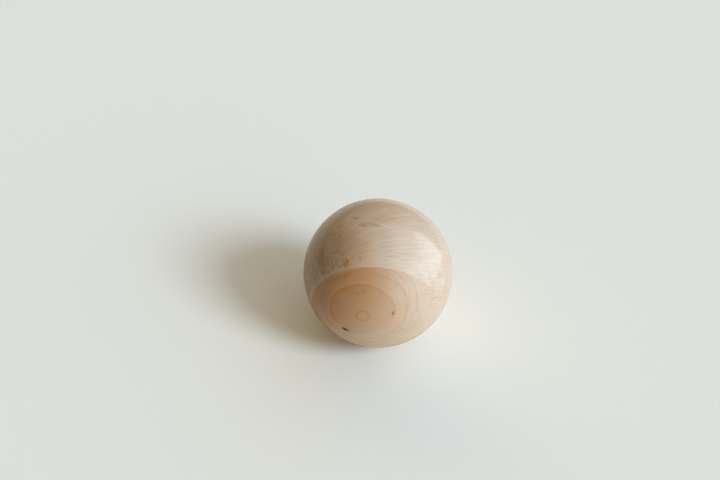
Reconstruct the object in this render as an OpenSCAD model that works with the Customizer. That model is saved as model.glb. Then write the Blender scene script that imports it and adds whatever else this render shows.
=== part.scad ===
// Solid wooden ball, turned from one blank and sanded round.
// The origin is the centre of the ball, and +Z points up as it lies at rest.

/* [Ball] */
// Diameter of the ball
ball_d = 60; // [20:1:120]

/* [Hidden] */
// Facets round the ball in a drawn view
ball_fn = 180;
// Pale hardwood under a clear lacquer
wood_colour = [0.85, 0.74, 0.61];

// One turned solid: no bore, no flat and no seam anywhere on it
module ball() {
    color(wood_colour)
        sphere(d = ball_d, $fn = ball_fn);
}

ball();
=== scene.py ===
import math

import bmesh
import bpy
import numpy as np
from mathutils import Color, Matrix, Vector, noise


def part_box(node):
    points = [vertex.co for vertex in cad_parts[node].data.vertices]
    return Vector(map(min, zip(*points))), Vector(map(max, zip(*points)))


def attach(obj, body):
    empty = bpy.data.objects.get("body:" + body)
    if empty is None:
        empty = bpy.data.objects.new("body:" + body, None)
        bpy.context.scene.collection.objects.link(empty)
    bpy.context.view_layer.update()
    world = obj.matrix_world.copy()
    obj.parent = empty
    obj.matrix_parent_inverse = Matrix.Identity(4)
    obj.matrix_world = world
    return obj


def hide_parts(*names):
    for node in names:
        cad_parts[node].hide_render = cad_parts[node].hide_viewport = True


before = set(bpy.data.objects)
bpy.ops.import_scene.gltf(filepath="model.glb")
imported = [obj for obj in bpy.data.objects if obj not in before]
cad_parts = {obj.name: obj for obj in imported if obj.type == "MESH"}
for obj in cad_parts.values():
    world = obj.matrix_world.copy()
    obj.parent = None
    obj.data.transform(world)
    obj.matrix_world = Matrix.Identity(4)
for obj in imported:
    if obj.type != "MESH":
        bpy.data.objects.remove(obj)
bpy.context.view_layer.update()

bl_info = {
    "name": "Turned Wooden Ball",
    "version": (1, 0, 0),
    "blender": (4, 5, 0),
    "location": "View3D > Sidebar > Wooden Ball",
    "description": "A solid ball turned round the pith of a pale hardwood and lacquered",
    "category": "Add Mesh",
}

# The solid that the ball is dressed over
BALL_LOW, BALL_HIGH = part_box("ball")

# A millimetre in metres, the white of a screen, and black
MILLIMETRE = 0.001
SCREEN_WHITE = 255
BLACK = (0.0, 0.0, 0.0)

# Right, back and up in the ball's frame
RIGHT = (1, 0, 0)
BACK = (0, 1, 0)
UP = (0, 0, 1)

# The picture's frame, and where the ball lies in it
FRAME_PX = (720, 480)
BALL_CENTRE_PX = (378.0, 272.9)
BALL_RADIUS_PX = 74.65

# Below, places on the ball are shares of its radius: u across the pith, v up, and w along it to the front.
# The values for a step are where it starts, where it ends, and its levels there if they aren't 0 and 1.
# The values for a noise are its scale, detail, roughness and swirl.

# Small values that keep a division away from zero
PITH_GUARD_SHARE = 0.0004
AXIS_GUARD_SHARE = 0.01

# Growth rings, out from their middle: place, darkness of the late wood, width of its line,
# and paleness of the early wood outside it
RING_SHARES = (
    (0.082, 0.52, 0.022, 0.0),
    (0.388, 0.82, 0.032, 0.15),
    (0.528, 0.24, 0.034, 0.12),
    (0.635, 0.13, 0.030, 0.10),
    (0.720, 0.11, 0.026, 0.0),
    (0.790, 0.12, 0.024, 0.0),
    (0.855, 0.12, 0.020, 0.0),
    (0.920, 0.12, 0.018, 0.0),
    (0.985, 0.12, 0.018, 0.0),
)
RING_REACH_SHARE = 1.40
RING_CRISP_SHARE = 0.85
EARLY_WOOD_SHARE = 2.0

# How the rings depart from circles: pull up, pull left, flatten top and bottom, and slant,
# then the same close to the pith, where the pith lies, how far it drifts by the back,
# and how far out the pulls and the slant have set in
LOBE_SHARES = (0.155, -0.090, 0.064, 0.060)
PITH_LOBE_SHARES = (0.22, -0.154, 0.122)
PITH_PLACE_SHARES = (0.012, -0.016)
PITH_DRIFT_SHARES = (0.050, -0.035)
LOBE_START_SHARE = 0.28
SLANT_START_SHARE = 0.60

# Small waves in the rings: height, and how fast they turn across, up and along the pith
RING_WAVE_SHARES = ((0.003, 13, 5, 3), (0.002, -11, 19, 4))

# Where the rings fade: in patches, towards the top, and the outer ones also low down and under the rim
RING_PATCH_NOISE = (3.5, 1.0)
RING_PATCH_SHARES = (0.25, 0.55, 0.6, 1.0)
RING_TOP_SHARES = (0.85, 0.50, 0.25, 1.0)
OUTER_RING_SHARES = (0.46, 0.50)
OUTER_RING_LOW_SHARES = (0.45, 0.0, 0.0, 0.5)
OUTER_RING_RIM_SHARES = (0.44, 0.53, 0.0, 0.75)
OUTER_COLOUR_SHARES = (0.46, 0.54)

# Where the second ring fades: low down and on the right, and evenly on the back
SECOND_RING_INSIDE_SHARES = (0.25, 0.30)
SECOND_RING_OUTSIDE_SHARES = (0.50, 0.46)
SECOND_RING_SLANT_SHARE = 0.35
SECOND_RING_LOW_SHARES = (-0.14, -0.02, 0.12, 1.0)
SECOND_RING_RIGHT_SHARES = (0.30, -0.40, 0.32, 1.0)
SECOND_RING_FRONT_SHARES = (-0.25, 0.25)
SECOND_RING_BACK_SHARE = 0.3

# The face with the brown heart lies on the near side of a plane across the ball,
# and reaches a little past it on the far right.
# Its crisp rim is painted: it follows the line where the lacquer's sheen ends.
SHEEN_EDGE_AXIS_SHARES = (0.143, -0.335, 0.931)
SHEEN_EDGE_SHARES = (0.526, 0.548)
FACE_RIGHT_SHARES = (0.84, 0.97, 0.0, 0.15)
FACE_FADE_SHARES = (0.90, 0.55)

# The brown of the heart, strongest at the upper left, with a red tinge on the left and a pale foot
# The heart's strength on the upper left, fading to the right, and its red tinge on the left and at the rim
# are painted shade
HEART_SLANT_SHARE = 0.14
HEART_RISE_SHARES = (-0.50, 0.23)
HEART_LEFT_SHADE_SHARES = (0.79, -0.30, 0.0, 0.72)
HEART_LOW_SHARES = (-0.75, -0.35, 0.08, 0.28)
HEART_RIGHT_SHARES = (0.90, 0.35)
RED_LEFT_SHADE_SHARES = (-0.20, -0.55, 0.0, 0.20)
RED_RIM_SHADE_SHARES = (-0.50, -0.66, 0.0, 0.07)
PALE_FOOT_SHARES = (-0.28, -0.50, 0.0, 0.20)

# The darker wood inside the second ring; on the left it is painted shade, darkest on the upper left, and
# painted light, palest on the lower left
INNER_WOOD_SHARES = (0.42, 0.33)
INNER_WOOD_SHARE = 0.14
INNER_LEFT_SHADE_SHARES = (-0.05, -0.35)
INNER_SHADE_RISE_SHARES = (-0.15, 0.20, -0.10, 0.08)

# Outside the face: a pale strip along its rim, which is a painted sheen, the wood with lengthwise fibres,
# and a corner at the upper left, which is painted light
SHEEN_STRIP_SHARES = (0.476, 0.511)
SIDE_GRAIN_SHARES = (0.60, 0.42)
SIDE_GRAIN_RIGHT_SHARES = (0.50, 0.85, 0.0, 0.2)
# The corner is painted light: inside the upper left rim the wood is less warm and less dull
LIT_CORNER_RIGHT_SHARES = (-0.42, -0.60)
LIT_CORNER_LEFT_SHARES = (-0.78, -0.68)
LIT_CORNER_LOW_SHARES = (0.46, 0.66)

# Warm wood: clouds all over, towards the near end of the fibres, and on the crown
CLOUD_NOISE = (2.4, 2.0)
CLOUD_SHARES = (0.40, 0.70, 0.0, 0.25)
WARM_END_SHARES = (0.57, 0.84)
WARM_POLE_SHARES = (1.0, 0.85, 0.65, 1.0)
WARM_TOP_SHARES = (0.95, 0.78, 0.4, 1.0)
# How much warmth the corner of painted light loses
WARM_LIT_CORNER_SHARE = 0.85
CROWN_SHARES = (0.90, 0.98, 0.0, 0.7)
CROWN_RIGHT_SHARES = (0.40, 0.12)

# Broad bands along the fibres
BAND_NOISE = (9.0, 1.0, 0.5, 0.2)
BAND_SHARES = (0.46, 0.68, 0.0, 0.11)
BAND_END_SHARES = (0.93, 0.72)

# Dull, speckled end grain at the near end of the fibres, with more speckle near the rim of the face
END_GRAIN_SHARES = (0.74, 0.98, 0.0, 0.82)
END_GRAIN_POLE_SHARES = (0.97, 0.99, 0.0, 0.08)
SPECKLE_NOISE = (25.0, 4.0, 0.65, 0.4)
SPECKLE_SHARES = (0.32, 0.68, -0.5, 0.5)
SPECKLE_RIM_SHARES = (0.20, 0.44, 0.48, 1.0)
DULL_SHARE = 0.5
# How much less dull the end grain is on the strip of painted sheen
DULL_SHEEN_STRIP_SHARE = 0.4
# How much less dull the end grain is in the corner of painted light
DULL_LIT_CORNER_SHARE = 0.55

# Fibres, which run to the two ends of an axis of their own
FIBRE_STRETCH_SHARE = 0.06
FIBRE_NOISE = (42.0, 3.0, 0.6)
FIBRE_SHARES = (0.44, 0.72)
FIBRE_LEVEL_SHARES = (0.1, 0.7, 0.10, 0.24)
FIBRE_END_SHARES = (0.995, 0.88)
FINE_FIBRE_NOISE = (84.0, 2.0, 0.6)
FINE_FIBRE_SHARES = (0.42, 0.70)
FINE_FIBRE_LEVEL_SHARES = (0.0, 1.0, 0.03, 0.16)

# Rays out from the pith, and fine lines between the rings
RAY_STRETCH_SHARE = 1.2
RAY_NOISE = (26.0, 3.0, 0.6)
RAY_SHARES = (0.44, 0.74, 0.0, 0.14)
RAY_START_SHARES = (0.12, 0.40)
RING_LINE_STRETCH_SHARE = 0.12
RING_LINE_NOISE = (44.0, 3.0, 0.6)
RING_LINE_SHARES = (0.46, 0.70, 0.0, 0.18)
RING_LINE_START_SHARES = (0.40, 0.56)

# Flecks, knots and streaks on the front.
# Each is: place across and up, half length, half width, and turn in degrees
DARK_FLECK_SHARES = ((-0.237, -0.312, 0.046, 0.026, -14),)
RED_DASH_SHARES = ((0.374, 0.058, 0.032, 0.017, 85),)
PIN_KNOT_SHARES = ((-0.267, 0.611, 0.028, 0.018, -77),)
KNOT_HALO_SHARES = (
    (-0.225, -0.320, 0.070, 0.036, -14),
    (-0.276, 0.583, 0.052, 0.042, -84),
    (-0.165, 0.925, 0.062, 0.020, -8),
)
FAINT_FLECK_SHARES = (
    (-0.101, 0.674, 0.034, 0.018, -61),
    (-0.460, 0.838, 0.050, 0.022, -10),
    (-0.181, -0.310, 0.034, 0.020, 22),
    (-0.600, 0.720, 0.180, 0.013, 0),
    (-0.050, 0.945, 0.125, 0.024, -4),
)
BROWN_STREAK_SHARES = (
    (-0.299, 0.577, 0.038, 0.020, -73),
    (-0.267, 0.458, 0.060, 0.025, -85),
    (-0.223, 0.495, 0.034, 0.020, -79),
    (-0.085, 0.302, 0.020, 0.017, 22),
    (-0.009, 0.332, 0.027, 0.021, 13),
    (-0.298, 0.931, 0.052, 0.017, -17),
)
PALE_STREAK_AND_SHEEN_SHARES = (
    (-0.195, 0.945, 0.135, 0.014, -2),
    (0.113, 0.943, 0.094, 0.014, -8),
    # At the right rim: a painted sheen, not a streak
    (0.885, 0.250, 0.130, 0.080, 10),
)
DULL_STREAK_SHARES = ((-0.635, 0.425, 0.110, 0.048, -38),)

# The marks in the order they are laid on: their colour in the finish, and how much of it shows
MARK_LAYERS = (
    (KNOT_HALO_SHARES, "knot", 0.45),
    (FAINT_FLECK_SHARES, "red_fleck_and_shade", 0.24),
    (PALE_STREAK_AND_SHEEN_SHARES, "pale_streak", 0.28),
    (DULL_STREAK_SHARES, "dull_grain", 0.28),
    (BROWN_STREAK_SHARES, "ring", 0.58),
    (PIN_KNOT_SHARES, "knot", 0.85),
    (RED_DASH_SHARES, "red_fleck_and_shade", 0.88),
    (DARK_FLECK_SHARES, "dark_fleck", 1.0),
)

# How softly a mark ends, in its own half lengths and widths, and how deep it reaches into the wood
MARK_SOFT_SHARES = (0.35, 1.5, 1.0, 0.0)
MARK_DEPTH_SHARE = 0.5

# Relief: how fast the raised fibres and the sanding flats vary over one radius, along and across,
# how steeply a sunken fleck rises to its edge, and how far below its middle it may reach
COARSE_GRAIN_TURNS = (1.6, 21, 21)
FINE_GRAIN_TURNS = (3.0, 47, 47)
FINE_GRAIN_SHARE = 0.5
SANDING_TURNS = 2.6
FINE_SANDING_TURNS = 6.1
FINE_SANDING_SHARE = 0.45
FLECK_RISE_SHARE = 1.5
FLECK_REACH_SHARE = 0.3

# Lacquer: roughness over the fibres and the late wood, dull dark flecks, and fine pores along the fibres
FIBRE_ROUGHNESS = 0.06
LATE_WOOD_ROUGHNESS = 0.05
FLECK_ROUGHNESS = 0.95
PORE_SHARE = 0.6
FINE_PORE_SHARE = 0.4
PORE_STRENGTH_SHARE = 0.35
PORE_DEPTH = 0.03 * MILLIMETRE

# Floor: how dull it is, and how the lacquer mirrors it, with painted shade: warmer under the ball and
# darker on the left
FLOOR_ROUGHNESS = 0.9
FLOOR_SPECULAR_SHARE = 0.1
MIRRORED_SHADE_LEFT = 4 * MILLIMETRE
MIRRORED_WARM_SHADE_STEP = (39 * MILLIMETRE, 26 * MILLIMETRE, 0.0, 0.78)
MIRRORED_SHADOW_STEP = (20 * MILLIMETRE, -50 * MILLIMETRE, 0.0, 0.34)

# Light from all round. Shares here say how far a direction reaches right, back or up,
# and a pair of levels is for soft light and for what the lacquer mirrors.
# Low light from the right, which is stronger towards the front
LOW_LIGHT_RIGHT_SHARES = (0.45, 0.75)
LOW_LIGHT_UP_SHARES = (0.62, 0.48)
LOW_LIGHT_FRONT_SHARES = (0.25, -0.25, 0.80, 1.95)
LOW_LIGHT_MIRRORED = 2.95

# High light from the right, and weak light from overhead
HIGH_LIGHT_RIGHT_SHARES = (0.10, 0.50)
HIGH_LIGHT_UP_SHARES = (0.48, 0.62)
HIGH_LIGHT_LEVELS = (0.80, 1.55)
OVERHEAD_LEFT_SHARES = (-0.35, -0.05)
OVERHEAD_RIGHT_SHARES = (0.50, 0.10)
OVERHEAD_LEVELS = (0.32, 0.62)

# Light from behind the ball, which takes the place of the others there
BEHIND_SHARES = (0.545, 0.575)
BEHIND_LEVELS = (1.02, 0.20)

# The near side, round the viewer, which is darker, most of all on the left
NEAR_SIDE_AXIS = (-0.04, -0.866, -0.5)
NEAR_SIDE_SHARES = (0.15, 0.21)
NEAR_LEVEL = 0.05
NEAR_MIDDLE_SHARES = (-0.30, 0.10, 0.0, 0.20)
NEAR_RIGHT_SHARES = (0.15, 0.45, 0.0, 1.60)
NEAR_FAR_RIGHT_SHARES = (0.45, 0.75, 0.0, 0.46)
NEAR_RIGHT_LEVELS = (1.0, 0.78)

# Where the light turns from the fill's colour to the side's
TINT_SHARES = (0.2, 0.6)
TINT_MIRRORED_SHARE = 0.4
TINT_BACK_SHARES = (0.2, 0.6, 0.0, 0.35)


def from_display(*screen):
    """A colour given as red, green and blue of a screen, as the renderer's own light values."""
    return list(Color([value / SCREEN_WHITE for value in screen]).from_srgb_to_scene_linear())


def heading(turn, rise):
    """The direction that points so far right of the front and so far above level."""
    return Vector((math.sin(turn) * math.cos(rise), -math.cos(turn) * math.cos(rise), math.sin(rise)))


class Wire:
    """A shader socket that can be used in sums; without a socket it only adds nodes to its tree."""

    def __init__(self, tree, socket=None):
        self.tree = tree
        self.socket = socket

    def node(self, kind, settings, inputs, output=0):
        """Add one node, set it up, feed its sockets, and give back one of its outputs."""
        made = self.tree.nodes.new(kind)
        for name, value in settings.items():
            if name == "stops":
                set_stops(made.color_ramp, value)
            else:
                setattr(made, name, value)
        for name, value in inputs.items():
            if isinstance(value, Wire):
                self.tree.links.new(value.socket, made.inputs[name])
            else:
                made.inputs[name].default_value = value
        return Wire(self.tree, made.outputs[output])

    def maths(self, operation, *values):
        return self.node("ShaderNodeMath", {"operation": operation}, dict(enumerate(values)))

    def __add__(self, other):
        return self.maths("ADD", self, other)

    def __radd__(self, other):
        return self.maths("ADD", other, self)

    def __sub__(self, other):
        return self.maths("SUBTRACT", self, other)

    def __rsub__(self, other):
        return self.maths("SUBTRACT", other, self)

    def __mul__(self, other):
        return self.maths("MULTIPLY", self, other)

    def __rmul__(self, other):
        return self.maths("MULTIPLY", other, self)

    def __truediv__(self, other):
        return self.maths("DIVIDE", self, other)

    def __rtruediv__(self, other):
        return self.maths("DIVIDE", other, self)

    def dot(self, axis):
        """How far a vector reaches along an axis."""
        settings = {"operation": "DOT_PRODUCT"}
        return self.node("ShaderNodeVectorMath", settings, {0: self, 1: axis}, "Value")

    def distance(self, point):
        """How far a vector's end lies from a point."""
        settings = {"operation": "DISTANCE"}
        return self.node("ShaderNodeVectorMath", settings, {0: self, 1: point}, "Value")

    def step(self, start, end, out_start=0.0, out_end=1.0, kind="SMOOTHSTEP"):
        """A smooth or straight step from one level to another."""
        ends = {"From Min": start, "From Max": end, "To Min": out_start, "To Max": out_end}
        return self.node("ShaderNodeMapRange", {"interpolation_type": kind}, {"Value": self, **ends})

    def noise(self, scale, detail=2.0, roughness=0.5, swirl=0.0):
        """Smooth random values from 0 to 1 over a vector."""
        look = {"Scale": scale, "Detail": detail, "Roughness": roughness, "Distortion": swirl}
        return self.node("ShaderNodeTexNoise", {"noise_dimensions": "3D"}, {"Vector": self, **look}, "Fac")

    def blend(self, colour, other):
        """Mix two colours by this factor."""
        inputs = {0: self, 6: opaque(colour), 7: opaque(other)}
        return self.node("ShaderNodeMix", {"data_type": "RGBA"}, inputs, 2)

    def either(self, levels):
        """The first level where this is 0, and the second where it is 1."""
        return self.step(0.0, 1.0, *levels)


def opaque(colour):
    return colour if isinstance(colour, Wire) else (*colour, 1.0)


def set_stops(ramp, stops):
    """Give a ramp stops at these places, with one level in its red and one in its green."""
    while len(ramp.elements) > 1:
        ramp.elements.remove(ramp.elements[-1])
    ramp.elements[0].position = stops[0][0]
    for place, _, _ in stops[1:]:
        ramp.elements.new(place)
    for element, (_, first, second) in zip(ramp.elements, stops):
        element.color = (first, second, 0.0, 1.0)


def root(value):
    return value.maths("SQRT", value) if isinstance(value, Wire) else np.sqrt(value)


def wave(value):
    return value.maths("SINE", value) if isinstance(value, Wire) else np.sin(value)


def least(value, limit):
    return value.maths("MINIMUM", value, limit) if isinstance(value, Wire) else np.minimum(value, limit)


def wood_axes(shape):
    """Across, up and along the pith, as unit vectors in the ball's frame."""
    along = heading(shape.pith_turn, shape.pith_rise)
    across = Vector(UP).cross(along).normalized()
    return across, along.cross(across), along


def fibre_axes(shape):
    """Along the fibres, and two ways across them, as unit vectors in the ball's frame."""
    along = heading(shape.fibre_turn, shape.fibre_rise)
    across = along.cross(Vector(UP)).normalized()
    return along, across, along.cross(across)


def ring_place(u, v, w):
    """Distance from the pith in radii, straightened so that one growth ring has one value.

    u, v and w are places across, up and along the pith, as arrays or as shader values.
    """
    drift = (1 - w) / 2
    x = u - PITH_PLACE_SHARES[0] - drift * PITH_DRIFT_SHARES[0]
    y = v - PITH_PLACE_SHARES[1] - drift * PITH_DRIFT_SHARES[1]
    radius = root(x * x + y * y + PITH_GUARD_SHARE)
    cosine = x / radius
    sine = y / radius
    oval = cosine * cosine - sine * sine
    pull_up, pull_left, flatten, slant = LOBE_SHARES
    lobes = pull_up * sine + pull_left * cosine + flatten * oval
    lobes = lobes + 2 * slant * least(radius / SLANT_START_SHARE, 1.0) * sine * cosine
    pith_up, pith_left, pith_flatten = PITH_LOBE_SHARES
    pith_lobes = pith_up * sine + pith_left * cosine + pith_flatten * oval
    waves = sum(height * wave(across * x + up * y + along * w)
                for height, across, up, along in RING_WAVE_SHARES)
    reach = least(radius / LOBE_START_SHARE, 1.0)
    return radius / (1 + reach * lobes + (1 - reach) * pith_lobes) + reach * waves


def ring_stops():
    """Places of the rings, each with the darkness of the late wood and the paleness of the early wood.

    Late wood fades in from the pith side and ends crisply, and pale early wood follows it.
    """
    stops = [(0.0, 0.0, 0.0)]
    for place, darkness, width, paleness in RING_SHARES:
        line = [(-width, 0.0, 0.0), (0.0, darkness, 0.0), (width * RING_CRISP_SHARE, 0.0, paleness)]
        if paleness:
            line.append((width * EARLY_WOOD_SHARE, 0.0, 0.0))
        for offset, late, early in line:
            stops.append(((place + offset) / RING_REACH_SHARE, late, early))
    return stops


def round_ball(cells):
    """A ball of radius one, made from a cube whose sides are cut into even cells."""
    mesh = bmesh.new()
    bmesh.ops.create_cube(mesh, size=2.0)
    bmesh.ops.subdivide_edges(mesh, edges=mesh.edges, cuts=cells - 1, use_grid_fill=True)
    for vertex in mesh.verts:
        vertex.co = Vector([math.tan(share * math.pi / 4) for share in vertex.co]).normalized()
    return mesh


def grain_relief(place):
    """Raised fibres, as heights round zero, at a place given along the fibres and two ways across."""
    coarse = noise.noise(Vector(place * COARSE_GRAIN_TURNS))
    return coarse + FINE_GRAIN_SHARE * noise.noise(Vector(place * FINE_GRAIN_TURNS))


def sanding_relief(direction):
    """The slight flats that sanding by hand leaves, as heights round zero."""
    broad = noise.noise(direction * SANDING_TURNS)
    return broad + FINE_SANDING_SHARE * noise.noise(direction * FINE_SANDING_TURNS)


def mark_axes(mark):
    """The middle of a mark on a ball of radius one, and the directions along and across it."""
    across, up, _, _, turn = mark
    middle = Vector((across, up, math.sqrt(1 - across ** 2 - up ** 2)))
    level = (Vector(RIGHT) - middle * across).normalized()
    along = Matrix.Rotation(math.radians(turn), 3, middle) @ level
    return middle, along, middle.cross(along)


def mark_relief(places, mark):
    """How deep a fleck lies at each place, from 0 to 1."""
    _, _, length, width, _ = mark
    middle, along, across = (np.array(axis) for axis in mark_axes(mark))
    offset = places - middle
    x = offset @ along / length
    y = offset @ across / width
    return np.exp(-FLECK_RISE_SHARE * (x * x + y * y)) * (offset @ middle > -FLECK_REACH_SHARE)


def shape_ball(shape):
    """The ball's mesh, with its sanding, raised grain, ring ridges and sunken flecks."""
    mesh = round_ball(shape.cells)
    directions = np.array([vertex.co for vertex in mesh.verts])
    sanding = np.array([sanding_relief(vertex.co) for vertex in mesh.verts])
    fibre_places = directions @ np.array(fibre_axes(shape)).T
    fibres = np.array([grain_relief(place) for place in fibre_places])
    side_grain = 1 - fibre_places[:, 0] ** 2
    places = directions @ np.array(wood_axes(shape)).T
    rings = ring_place(*places.T) / RING_REACH_SHARE
    stop_places, darkness, _ = zip(*ring_stops())
    ridges = np.interp(rings, stop_places, darkness)
    sunken = DARK_FLECK_SHARES + RED_DASH_SHARES + PIN_KNOT_SHARES
    flecks = sum(mark_relief(places, mark) for mark in sunken)
    height = sanding * shape.waviness + fibres * side_grain * shape.raised_grain
    height = height + ridges * shape.ring_ridge - flecks * shape.fleck_depth
    for vertex, direction, rise in zip(mesh.verts, directions, height):
        vertex.co = Vector(direction) * (shape.diameter / 2 + float(rise))
    return mesh


class Wood:
    """Where a point of the surface lies in the wood, and what grows there, as shader values."""

    def __init__(self, sheet, shape):
        self.sheet = sheet
        spot = sheet.node("ShaderNodeTexCoord", {}, {}, "Object")
        scaled = {0: spot, "Scale": 2 / shape.diameter}
        unit = sheet.node("ShaderNodeVectorMath", {"operation": "SCALE"}, scaled)
        self.u, self.v, self.w = [unit.dot(axis) for axis in wood_axes(shape)]
        self.place = self.join(self.u, self.v, self.w)
        self.add_fibres(*[unit.dot(axis) for axis in fibre_axes(shape)])
        self.add_rings()
        self.add_regions()

    def join(self, x, y, z):
        """One vector from three values."""
        return self.sheet.node("ShaderNodeCombineXYZ", {}, {0: x, 1: y, 2: z})

    def add_fibres(self, along, across, up):
        """Fibres, bands and fine fibres, which all run to the ends of one axis."""
        girth = root(across * across + up * up + AXIS_GUARD_SHARE)
        stretched = self.join(along * FIBRE_STRETCH_SHARE, across / girth, up / girth)
        self.along = along
        self.fibre = stretched.noise(*FIBRE_NOISE)
        self.fine_fibre = stretched.noise(*FINE_FIBRE_NOISE)
        self.band = stretched.noise(*BAND_NOISE)

    def add_rings(self):
        """Each point's ring, and how dark or pale the ring leaves it."""
        self.rings = ring_place(self.u, self.v, self.w)
        stops = {"stops": ring_stops()}
        ramp = self.sheet.node("ShaderNodeValToRGB", stops, {"Fac": self.rings / RING_REACH_SHARE})
        self.late_wood = self.sheet.node("ShaderNodeSeparateColor", {}, {"Color": ramp}, "Red")
        self.early_wood = self.sheet.node("ShaderNodeSeparateColor", {}, {"Color": ramp}, "Green")

    def add_regions(self):
        """The face with the rings, whose rim is a painted edge of the sheen, the wood round it, and a
        corner at the upper left.
        """
        u, v = self.u, self.v
        # The face's rim is a painted reflection edge, where the lacquer's sheen ends
        self.sheen_edge_side = self.place.dot(SHEEN_EDGE_AXIS_SHARES)
        self.face = (self.sheen_edge_side + u.step(*FACE_RIGHT_SHARES)).step(*SHEEN_EDGE_SHARES)
        self.near_face = self.face * u.step(*FACE_FADE_SHARES)
        # A pale strip of painted sheen just outside the face's rim
        self.sheen_strip = self.sheen_edge_side.step(*SHEEN_STRIP_SHARES)
        right = u.step(*SIDE_GRAIN_RIGHT_SHARES)
        self.side_grain = (self.sheen_edge_side - right).step(*SIDE_GRAIN_SHARES)
        # A corner of painted light just inside the upper left rim
        self.corner = u.step(*LIT_CORNER_RIGHT_SHARES) * u.step(*LIT_CORNER_LEFT_SHARES)
        self.corner = self.corner * v.step(*LIT_CORNER_LOW_SHARES)


def pale_wood(wood, finish):
    """Pale wood with warm clouds, a warm end and a warm crown, less warm in the corner of painted light.
    """
    warmth = wood.along.step(*WARM_END_SHARES) * wood.along.step(*WARM_POLE_SHARES)
    warmth = warmth * wood.v.step(*WARM_TOP_SHARES) * (1.0 - wood.corner * WARM_LIT_CORNER_SHARE)
    warmth = warmth + wood.v.step(*CROWN_SHARES) * wood.u.step(*CROWN_RIGHT_SHARES)
    clouds = wood.place.noise(*CLOUD_NOISE).step(*CLOUD_SHARES)
    return least(warmth + clouds, 1.0).blend(finish.pale, finish.warm)


def add_bands(wood, finish, colour):
    """Broad bands along the fibres, outside the face and its pale strip of painted sheen."""
    level = wood.band.step(*BAND_SHARES) * wood.side_grain * (1.0 - wood.sheen_strip)
    return (level * wood.along.step(*BAND_END_SHARES)).blend(colour, finish.ring)


def add_end_grain(wood, finish, colour):
    """Dull, speckled wood where the near end of the fibres meets the surface, less dull on the pale strip
    of painted sheen and in the corner of painted light.
    """
    speckle = wood.place.noise(*SPECKLE_NOISE).step(*SPECKLE_SHARES, kind="LINEAR")
    speckle = speckle * wood.sheen_edge_side.step(*SPECKLE_RIM_SHARES)
    end_grain = wood.along.step(*END_GRAIN_SHARES) + wood.along.step(*END_GRAIN_POLE_SHARES)
    level = (DULL_SHARE + speckle) * end_grain * (1.0 - wood.sheen_strip * DULL_SHEEN_STRIP_SHARE)
    return (level * (1.0 - wood.corner * DULL_LIT_CORNER_SHARE)).blend(colour, finish.dull_grain)


def add_heart(wood, finish, colour):
    """The brown heart on the face, redder on the left and paler at its foot; its browner, redder left side
    is painted shade.
    """
    u, v = wood.u, wood.v
    # Painted shade: the brown is strongest on the upper left and fades to the right
    upper = (v - u * HEART_SLANT_SHARE).step(*HEART_RISE_SHARES) * u.step(*HEART_LEFT_SHADE_SHARES)
    lower = v.step(*HEART_LOW_SHARES) * u.step(*HEART_RIGHT_SHARES)
    colour = (wood.face * (upper + lower)).blend(colour, finish.heart)
    # Painted shade: a red tinge on the left and at the face's left rim
    red_shade = u.step(*RED_LEFT_SHADE_SHARES) + u.step(*RED_RIM_SHADE_SHARES)
    colour = (wood.face * red_shade).blend(colour, finish.red_fleck_and_shade)
    return (wood.face * v.step(*PALE_FOOT_SHARES)).blend(colour, finish.pale_streak)


def add_fibre_lines(wood, finish, colour):
    """Dull lines of the fibres, strongest outside the face and towards the fibres' near end."""
    lengthwise = wood.side_grain * wood.along.step(*FIBRE_END_SHARES)
    level = wood.fibre.step(*FIBRE_SHARES) * lengthwise * wood.along.step(*FIBRE_LEVEL_SHARES)
    colour = level.blend(colour, finish.fibre)
    fine_level = lengthwise.step(*FINE_FIBRE_LEVEL_SHARES, kind="LINEAR")
    return (wood.fine_fibre.step(*FINE_FIBRE_SHARES) * fine_level).blend(colour, finish.fibre)


def add_face_lines(wood, finish, colour):
    """Rays out from the pith, fine lines between the rings, and the darker wood inside the second ring,
    with painted shade and light on its left.
    """
    u, v, rings = wood.u, wood.v, wood.rings
    spread = root(u * u + v * v + AXIS_GUARD_SHARE)
    rays = wood.join(u / spread, v / spread, spread * RAY_STRETCH_SHARE).noise(*RAY_NOISE)
    level = rays.step(*RAY_SHARES) * wood.near_face * spread.step(*RAY_START_SHARES)
    colour = level.blend(colour, finish.fibre)
    line_place = wood.join(rings, u * RING_LINE_STRETCH_SHARE, v * RING_LINE_STRETCH_SHARE)
    lines = line_place.noise(*RING_LINE_NOISE)
    level = lines.step(*RING_LINE_SHARES) * wood.near_face * rings.step(*RING_LINE_START_SHARES)
    colour = level.blend(colour, finish.fibre)
    # On the left: painted shade above and painted light below
    inner_and_shade = INNER_WOOD_SHARE + u.step(*INNER_LEFT_SHADE_SHARES) * v.step(*INNER_SHADE_RISE_SHARES)
    return (rings.step(*INNER_WOOD_SHARES) * inner_and_shade).blend(colour, finish.fibre)


def second_ring_fade(wood):
    """How much of the second ring shows, with 1 at every other ring."""
    inside = wood.rings.step(*SECOND_RING_INSIDE_SHARES)
    second = inside * wood.rings.step(*SECOND_RING_OUTSIDE_SHARES)
    shown = (wood.v - wood.u * SECOND_RING_SLANT_SHARE).step(*SECOND_RING_LOW_SHARES)
    shown = shown * wood.u.step(*SECOND_RING_RIGHT_SHARES)
    front = wood.w.step(*SECOND_RING_FRONT_SHARES)
    shown = SECOND_RING_BACK_SHARE + front * (shown - SECOND_RING_BACK_SHARE)
    return 1.0 - second * (1.0 - shown)


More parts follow.
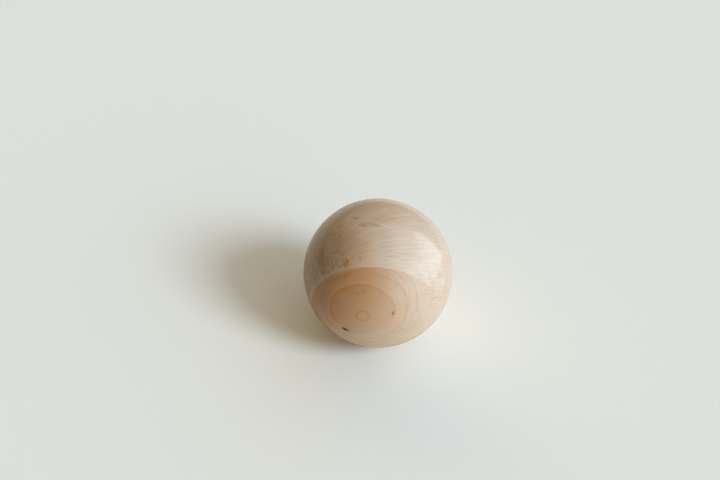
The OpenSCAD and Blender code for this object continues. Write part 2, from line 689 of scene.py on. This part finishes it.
def add_growth_rings(wood, finish, colour):
    """Late wood at the rings and pale early wood outside them, where they aren't faded."""
    patches = wood.place.noise(*RING_PATCH_NOISE).step(*RING_PATCH_SHARES)
    faded = wood.v.step(*OUTER_RING_LOW_SHARES) + wood.v.step(*OUTER_RING_RIM_SHARES)
    outer_fade = 1.0 - wood.rings.step(*OUTER_RING_SHARES) * faded
    shown = patches * wood.v.step(*RING_TOP_SHARES) * outer_fade * second_ring_fade(wood)
    colour = (wood.early_wood * shown).blend(colour, finish.pale)
    late_colour = wood.rings.step(*OUTER_COLOUR_SHARES).blend(finish.ring, finish.fibre)
    return (wood.late_wood * shown).blend(colour, late_colour)


def mark_spot(wood, mark):
    """A soft spot of the mark's size and slant, as a factor from 0 to 1."""
    _, _, length, width, _ = mark
    middle, along, across = mark_axes(mark)
    inputs = {
        "Vector": wood.place,
        "Location": middle,
        "Rotation": Matrix((along, across, middle)).transposed().to_euler(),
        "Scale": (length, width, MARK_DEPTH_SHARE),
    }
    local = wood.sheet.node("ShaderNodeMapping", {"vector_type": "TEXTURE"}, inputs)
    return local.distance((0, 0, 0)).step(*MARK_SOFT_SHARES)


def add_marks(wood, finish, colour):
    """Halos, flecks, streaks, knots and dashes, each sort over the one before."""
    for marks, paint, strength in MARK_LAYERS:
        for mark in marks:
            colour = (mark_spot(wood, mark) * strength).blend(colour, getattr(finish, paint))
    return colour


def lacquer_roughness(wood, finish):
    """A smooth lacquer that is a little rougher over fibres and late wood, and dull over dark flecks."""
    rough = finish.roughness + FIBRE_ROUGHNESS * wood.fibre + LATE_WOOD_ROUGHNESS * wood.late_wood
    for mark in DARK_FLECK_SHARES:
        rough = rough + mark_spot(wood, mark) * (FLECK_ROUGHNESS - rough)
    return rough


def pore_bump(wood):
    """Fine pores along the fibres."""
    pores = wood.fibre * PORE_SHARE + wood.fine_fibre * FINE_PORE_SHARE
    inputs = {"Height": pores, "Strength": PORE_STRENGTH_SHARE, "Distance": PORE_DEPTH}
    return wood.sheet.node("ShaderNodeBump", {}, inputs, "Normal")


def lacquered_wood(shape, finish):
    """Pale hardwood with rings, fibres, flecks and a brown heart, under a clear lacquer."""
    material = bpy.data.materials.new("lacquered_wood")
    material.use_nodes = True
    tree = material.node_tree
    shader = tree.nodes["Principled BSDF"]
    wood = Wood(Wire(tree), shape)
    colour = pale_wood(wood, finish)
    layers = (
        add_bands, add_end_grain, add_heart, add_fibre_lines,
        add_face_lines, add_growth_rings, add_marks,
    )
    for add_layer in layers:
        colour = add_layer(wood, finish, colour)
    tree.links.new(colour.socket, shader.inputs["Base Color"])
    tree.links.new(lacquer_roughness(wood, finish).socket, shader.inputs["Roughness"])
    tree.links.new(pore_bump(wood).socket, shader.inputs["Normal"])
    shader.inputs["IOR"].default_value = finish.lacquer_ior
    return material


class BallShape(bpy.types.PropertyGroup):
    """Sizes of the ball and of the relief on its surface."""

    diameter: bpy.props.FloatProperty(
        name="Diameter", description="Diameter of the ball",
        default=BALL_HIGH.z - BALL_LOW.z, unit="LENGTH")
    cells: bpy.props.IntProperty(
        name="Cells", description="Cells along each side of the cube that the ball is rounded from",
        default=118, min=8, max=128)
    pith_turn: bpy.props.FloatProperty(
        name="Pith turn", description="How far the pith points right of the front",
        default=math.radians(-10.9), subtype="ANGLE")
    pith_rise: bpy.props.FloatProperty(
        name="Pith rise", description="How far the pith points above level",
        default=math.radians(8.5), subtype="ANGLE")
    fibre_turn: bpy.props.FloatProperty(
        name="Fibre turn", description="How far the fibres point right of the front",
        default=math.radians(-60.0), subtype="ANGLE")
    fibre_rise: bpy.props.FloatProperty(
        name="Fibre rise", description="How far the fibres point above level",
        default=math.radians(26.5), subtype="ANGLE")
    waviness: bpy.props.FloatProperty(
        name="Waviness", description="Height of the flats left by sanding",
        default=0.035 * MILLIMETRE, unit="LENGTH", precision=6)
    raised_grain: bpy.props.FloatProperty(
        name="Raised grain", description="Height of the raised fibres",
        default=0.006 * MILLIMETRE, unit="LENGTH", precision=6)
    ring_ridge: bpy.props.FloatProperty(
        name="Ring ridge", description="Height of the dense wood at each ring's edge",
        default=0.010 * MILLIMETRE, unit="LENGTH", precision=6)
    fleck_depth: bpy.props.FloatProperty(
        name="Fleck depth", description="Depth of the flecks and knots",
        default=0.03 * MILLIMETRE, unit="LENGTH", precision=6)


class WoodFinish(bpy.types.PropertyGroup):
    """Colours of the wood and the gloss of its lacquer."""

    pale: bpy.props.FloatVectorProperty(
        name="Pale wood", description="The wood between the rings", size=3, subtype="COLOR",
        default=from_display(204, 179, 153))
    warm: bpy.props.FloatVectorProperty(
        name="Warm wood", description="Warmer clouds, and the wood near the fibres' end", size=3,
        subtype="COLOR", default=from_display(204, 169, 132))
    heart: bpy.props.FloatVectorProperty(
        name="Heart", description="The end grain round the pith", size=3, subtype="COLOR",
        default=from_display(188, 137, 91))
    ring: bpy.props.FloatVectorProperty(
        name="Rings", description="Late wood at the inner rings, bands and brown streaks", size=3,
        subtype="COLOR", default=from_display(178, 114, 60))
    fibre: bpy.props.FloatVectorProperty(
        name="Fibres", description="Dull lines of the fibres, the rays and the outer rings", size=3,
        subtype="COLOR", default=from_display(148, 106, 66))
    dark_fleck: bpy.props.FloatVectorProperty(
        name="Dark fleck", description="The darkest fleck", size=3, subtype="COLOR",
        default=from_display(98, 32, 0))
    # The red tinge on the left of the heart is painted shade
    red_fleck_and_shade: bpy.props.FloatVectorProperty(
        name="Red flecks", description="Reddish flecks, and the red tinge on the left of the heart",
        size=3, subtype="COLOR", default=from_display(162, 84, 34))
    knot: bpy.props.FloatVectorProperty(
        name="Pin knots", description="Orange pin knots and soft halos", size=3, subtype="COLOR",
        default=from_display(180, 104, 44))
    # This colour also paints a sheen at the right rim
    pale_streak: bpy.props.FloatVectorProperty(
        name="Pale streaks", description="Pale streaks, and the pale foot of the heart", size=3,
        subtype="COLOR", default=from_display(222, 205, 185))
    dull_grain: bpy.props.FloatVectorProperty(
        name="Dull grain", description="Speckled end grain, and a dull streak beside it", size=3,
        subtype="COLOR", default=from_display(134, 104, 64))
    roughness: bpy.props.FloatProperty(
        name="Roughness", description="Roughness of the lacquer", default=0.13, min=0.0, max=1.0)
    lacquer_ior: bpy.props.FloatProperty(
        name="Lacquer IOR", description="Index of refraction of the lacquer", default=1.5)


class StudioSetup(bpy.types.PropertyGroup):
    """The floor, the light and the camera."""

    floor_colour: bpy.props.FloatVectorProperty(
        name="Floor", description="Colour of the floor", size=3, subtype="COLOR",
        default=from_display(240, 235, 222))
    # Painted shade: the warm shade round the ball's foot, seen only in the lacquer
    mirrored_floor_shade: bpy.props.FloatVectorProperty(
        name="Warm floor", description="Colour of the floor under the ball, as the lacquer mirrors it",
        size=3, subtype="COLOR", default=from_display(235, 188, 129))
    floor_width: bpy.props.FloatProperty(
        name="Floor width", description="Width of the floor", default=8.0, unit="LENGTH")
    floor_right: bpy.props.FloatProperty(
        name="Floor right", description="Where the floor ends on the right for all but the camera",
        default=0.33, unit="LENGTH")
    lens: bpy.props.FloatProperty(
        name="Lens", description="Focal length of the camera in millimetres",
        default=50.0, subtype="DISTANCE_CAMERA")
    pitch: bpy.props.FloatProperty(
        name="Pitch", description="How far the camera looks below level",
        default=math.radians(40.53), subtype="ANGLE")
    light_level: bpy.props.FloatProperty(
        name="Light level", description="Brightness of all the light", default=0.97)
    side_colour: bpy.props.FloatVectorProperty(
        name="Side light", description="Colour of the light from the right", size=3, subtype="COLOR",
        default=(0.82, 1.0, 1.24))
    fill_colour: bpy.props.FloatVectorProperty(
        name="Fill light", description="Colour of the light from elsewhere", size=3, subtype="COLOR",
        default=(1.29, 1.0, 0.53))
    lamp_turn: bpy.props.FloatProperty(
        name="Lamp turn", description="How far the soft lamp stands right of the front",
        default=math.radians(57.0), subtype="ANGLE")
    lamp_rise: bpy.props.FloatProperty(
        name="Lamp rise", description="How far the soft lamp stands above level",
        default=math.radians(34.0), subtype="ANGLE")
    lamp_spread: bpy.props.FloatProperty(
        name="Lamp spread", description="Angle across the soft lamp, seen from the ball",
        default=math.radians(21.0), subtype="ANGLE")
    lamp_strength: bpy.props.FloatProperty(
        name="Lamp strength",
        description="Light of the soft lamp in watts on each square metre that faces it", default=2.15)
    backdrop_colour: bpy.props.FloatVectorProperty(
        name="Backdrop", description="Colour seen beyond the floor", size=3, subtype="COLOR",
        default=from_display(222, 223, 217))


class WOODENBALL_OT_turn(bpy.types.Operator):
    """Turn the ball, and give it its wood and lacquer"""

    bl_idname = "wooden_ball.turn"
    bl_label = "Turn Ball"

    def execute(self, context):
        shape = context.scene.ball_shape
        mesh = bpy.data.meshes.new("turned_ball")
        made = shape_ball(shape)
        made.to_mesh(mesh)
        made.free()
        mesh.shade_smooth()
        mesh.materials.append(lacquered_wood(shape, context.scene.wood_finish))
        piece = bpy.data.objects.new("turned_ball", mesh)
        context.collection.objects.link(piece)
        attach(piece, "root")
        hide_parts("ball")
        return {"FINISHED"}


def pale_floor(studio):
    """A dull pale material that the lacquer mirrors with painted shade: warmer under the ball and darker
    on the left.
    """
    material = bpy.data.materials.new("pale_floor")
    material.use_nodes = True
    tree = material.node_tree
    shader = tree.nodes["Principled BSDF"]
    sheet = Wire(tree)
    spot = sheet.node("ShaderNodeTexCoord", {}, {}, "Object")
    mirrored = sheet.node("ShaderNodeLightPath", {}, {}, "Is Glossy Ray")
    # Painted shade, seen only in the lacquer: the warm shade round the ball's foot
    warm = spot.distance((-MIRRORED_SHADE_LEFT, 0.0, BALL_LOW.z)).step(*MIRRORED_WARM_SHADE_STEP)
    colour = (mirrored * warm).blend(studio.floor_colour, studio.mirrored_floor_shade)
    # Painted shadow, seen only in the lacquer: the floor left of the ball mirrors darker
    dark = spot.dot(RIGHT).step(*MIRRORED_SHADOW_STEP)
    colour = (mirrored * dark).blend(colour, BLACK)
    tree.links.new(colour.socket, shader.inputs["Base Color"])
    shader.inputs["Roughness"].default_value = FLOOR_ROUGHNESS
    shader.inputs["Specular IOR Level"].default_value = FLOOR_SPECULAR_SHARE
    return material


def floor_sheet(context, name, left, right, half, material):
    """One flat piece of floor at the ball's foot, from left to right."""
    level = BALL_LOW.z
    mesh = bpy.data.meshes.new(name)
    corners = [(left, -half, level), (right, -half, level), (right, half, level), (left, half, level)]
    mesh.from_pydata(corners, [], [(0, 1, 2, 3)])
    mesh.materials.append(material)
    sheet = bpy.data.objects.new(name, mesh)
    context.collection.objects.link(sheet)
    return sheet


def add_floor(context, studio):
    """A pale floor whose far right is only there to be seen, so that low light comes in over it."""
    material = pale_floor(studio)
    half = studio.floor_width / 2
    floor_sheet(context, "floor", -half, studio.floor_right, half, material)
    far_side = floor_sheet(context, "floor_far_side", studio.floor_right, half, half, material)
    far_side.visible_diffuse = False
    far_side.visible_glossy = False
    far_side.visible_shadow = False


def far_light(right, back, up, mirrored):
    """Light from round the ball: low and high on the right, weak overhead, and even from behind."""
    soft = back.step(*LOW_LIGHT_FRONT_SHARES)
    low = right.step(*LOW_LIGHT_RIGHT_SHARES) * up.step(*LOW_LIGHT_UP_SHARES)
    low = low * (soft + mirrored * (LOW_LIGHT_MIRRORED - soft))
    high = right.step(*HIGH_LIGHT_RIGHT_SHARES) * up.step(*HIGH_LIGHT_UP_SHARES)
    high = high * mirrored.either(HIGH_LIGHT_LEVELS)
    overhead = right.step(*OVERHEAD_LEFT_SHARES) * right.step(*OVERHEAD_RIGHT_SHARES)
    overhead = overhead * mirrored.either(OVERHEAD_LEVELS)
    behind = back.step(*BEHIND_SHARES)
    return (low + high + overhead) * (1.0 - behind) + behind * mirrored.either(BEHIND_LEVELS)


def near_light(right, mirrored):
    """Light from the viewer's side: bright on the right, and almost none on the left."""
    bright = right.step(*NEAR_RIGHT_SHARES) + right.step(*NEAR_FAR_RIGHT_SHARES)
    return NEAR_LEVEL + right.step(*NEAR_MIDDLE_SHARES) + bright * mirrored.either(NEAR_RIGHT_LEVELS)


def add_world(context, studio):
    """Soft light that is brightest and coolest on the right; the camera sees an even backdrop."""
    world = bpy.data.worlds.new("soft_studio")
    world.use_nodes = True
    tree = world.node_tree
    sheet = Wire(tree)
    way = sheet.node("ShaderNodeTexCoord", {}, {}, "Generated")
    right, back, up = [way.dot(axis) for axis in (RIGHT, BACK, UP)]
    mirrored = sheet.node("ShaderNodeLightPath", {}, {}, "Is Glossy Ray")
    far = far_light(right, back, up, mirrored)
    near_side = way.dot(NEAR_SIDE_AXIS).step(*NEAR_SIDE_SHARES)
    level = far + near_side * (near_light(right, mirrored) - far)
    side = right + mirrored * TINT_MIRRORED_SHARE + back.step(*TINT_BACK_SHARES)
    tint = side.step(*TINT_SHARES).blend(studio.fill_colour, studio.side_colour)
    lit = {"Color": tint, "Strength": level * studio.light_level}
    light = sheet.node("ShaderNodeBackground", {}, lit)
    backdrop = sheet.node("ShaderNodeBackground", {}, {"Color": opaque(studio.backdrop_colour)})
    seen = sheet.node("ShaderNodeLightPath", {}, {}, "Is Camera Ray")
    shown = sheet.node("ShaderNodeMixShader", {}, {0: seen, 1: light, 2: backdrop})
    tree.links.new(shown.socket, tree.nodes["World Output"].inputs["Surface"])
    context.scene.world = world


def add_lamp(context, studio):
    """A soft lamp at the front right, which throws the ball's shadow to the back left."""
    lamp = bpy.data.lights.new("soft_lamp", "SUN")
    lamp.angle = studio.lamp_spread
    lamp.energy = studio.lamp_strength * studio.light_level
    lamp.color = studio.side_colour
    holder = bpy.data.objects.new("soft_lamp", lamp)
    way = heading(studio.lamp_turn, studio.lamp_rise)
    holder.rotation_euler = way.to_track_quat("Z", "Y").to_euler()
    holder.visible_camera = False
    holder.visible_glossy = False
    context.collection.objects.link(holder)


def add_camera(context, studio):
    """A camera that sees the ball where the picture has it."""
    camera = bpy.data.cameras.new("camera")
    camera.lens = studio.lens
    focal_px = FRAME_PX[0] * camera.lens / camera.sensor_width
    right = (BALL_CENTRE_PX[0] - FRAME_PX[0] / 2) / focal_px
    down = (BALL_CENTRE_PX[1] - FRAME_PX[1] / 2) / focal_px
    cosine, sine = math.cos(studio.pitch), math.sin(studio.pitch)
    sight = Vector((right, cosine - down * sine, -sine - down * cosine)).normalized()
    yaw = math.atan2(sight.x, sight.y)
    distance = BALL_HIGH.z / math.sin(math.atan(BALL_RADIUS_PX / focal_px))
    holder = bpy.data.objects.new("camera", camera)
    holder.location = Matrix.Rotation(yaw, 3, "Z") @ sight * -distance
    holder.rotation_euler = (math.pi / 2 - studio.pitch, 0, yaw)
    context.collection.objects.link(holder)
    context.scene.camera = holder


class WOODENBALL_OT_stage(bpy.types.Operator):
    """Set up the floor, the soft studio light and the camera"""

    bl_idname = "wooden_ball.stage"
    bl_label = "Set Stage"

    def execute(self, context):
        studio = context.scene.studio_setup
        add_floor(context, studio)
        add_world(context, studio)
        add_lamp(context, studio)
        add_camera(context, studio)
        context.scene.view_settings.view_transform = "Standard"
        return {"FINISHED"}


class WOODENBALL_PT_sidebar(bpy.types.Panel):
    """Sizes, colours and steps of the wooden ball"""

    bl_idname = "WOODENBALL_PT_sidebar"
    bl_label = "Wooden Ball"
    bl_space_type = "VIEW_3D"
    bl_region_type = "UI"
    bl_category = "Wooden Ball"

    def draw(self, context):
        for group in (context.scene.ball_shape, context.scene.wood_finish, context.scene.studio_setup):
            for name in group.__annotations__:
                self.layout.prop(group, name)
        self.layout.operator(WOODENBALL_OT_turn.bl_idname)
        self.layout.operator(WOODENBALL_OT_stage.bl_idname)


CLASSES = (
    BallShape, WoodFinish, StudioSetup,
    WOODENBALL_OT_turn, WOODENBALL_OT_stage, WOODENBALL_PT_sidebar,
)


def register():
    for part in CLASSES:
        bpy.utils.register_class(part)
    bpy.types.Scene.ball_shape = bpy.props.PointerProperty(type=BallShape)
    bpy.types.Scene.wood_finish = bpy.props.PointerProperty(type=WoodFinish)
    bpy.types.Scene.studio_setup = bpy.props.PointerProperty(type=StudioSetup)


def unregister():
    del bpy.types.Scene.studio_setup
    del bpy.types.Scene.wood_finish
    del bpy.types.Scene.ball_shape
    for part in reversed(CLASSES):
        bpy.utils.unregister_class(part)


def main():
    register()
    bpy.ops.wooden_ball.turn()
    bpy.ops.wooden_ball.stage()


if __name__ == "__main__":
    main()
